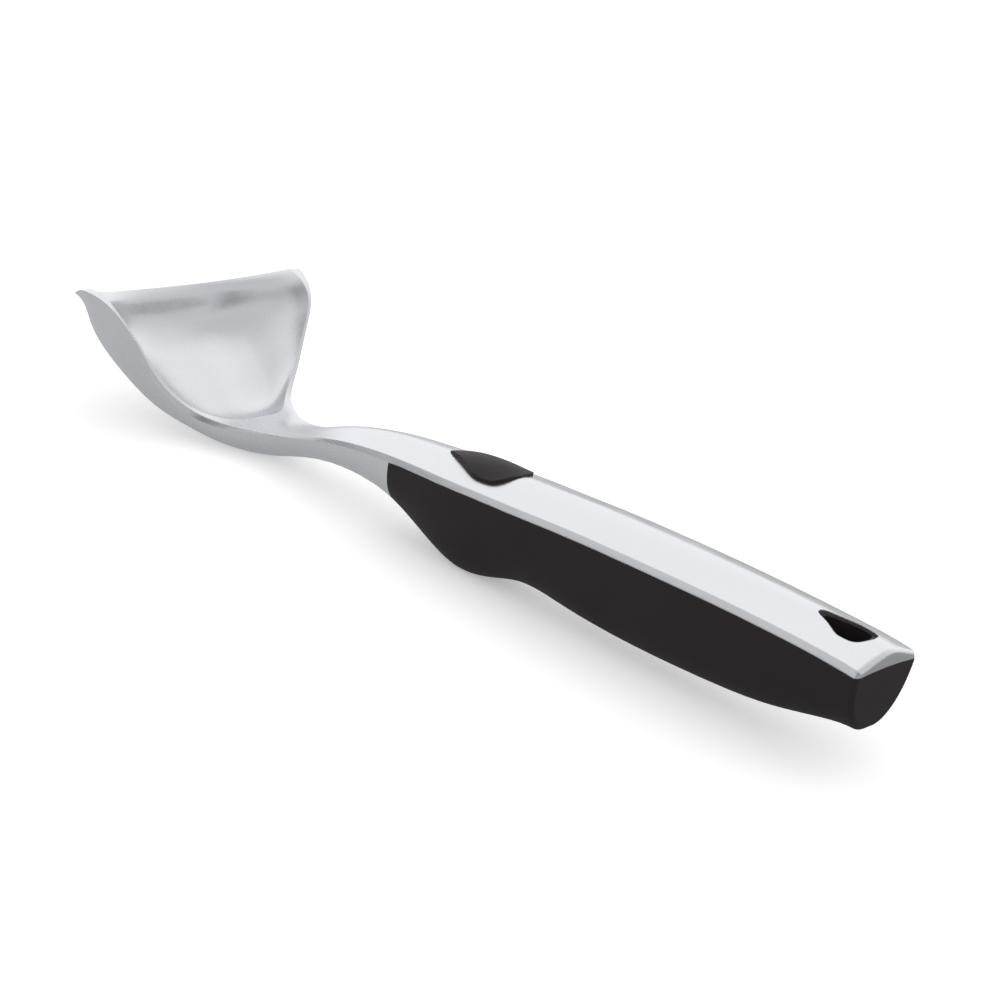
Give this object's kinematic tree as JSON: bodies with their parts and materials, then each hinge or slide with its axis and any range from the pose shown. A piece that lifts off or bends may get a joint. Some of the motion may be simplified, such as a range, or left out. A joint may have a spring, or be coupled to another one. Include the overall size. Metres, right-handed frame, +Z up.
{
  "type": "ice cream scoop",
  "caption": "Ice cream scoop: an open-fronted bowl on a flat tapering handle of bright cast metal, with a soft black grip beneath, a leaf-shaped thumb pad and a hanging hole.",
  "frame": {"origin": "on the table under the middle of the scoop, as it lies on the round of its bowl and on the finger hump of its grip", "axes": "+X along the handle towards its hanging end, +Y across the bowl, +Z up"},
  "size_m": [0.219, 0.0684, 0.0322],
  "materials": {
    "casting": "satin",
    "grip": "matte"
  },
  "bodies": {
    "root": {"scoop_casting": "casting", "soft_grip": "grip"}
  },
  "joints": []
}
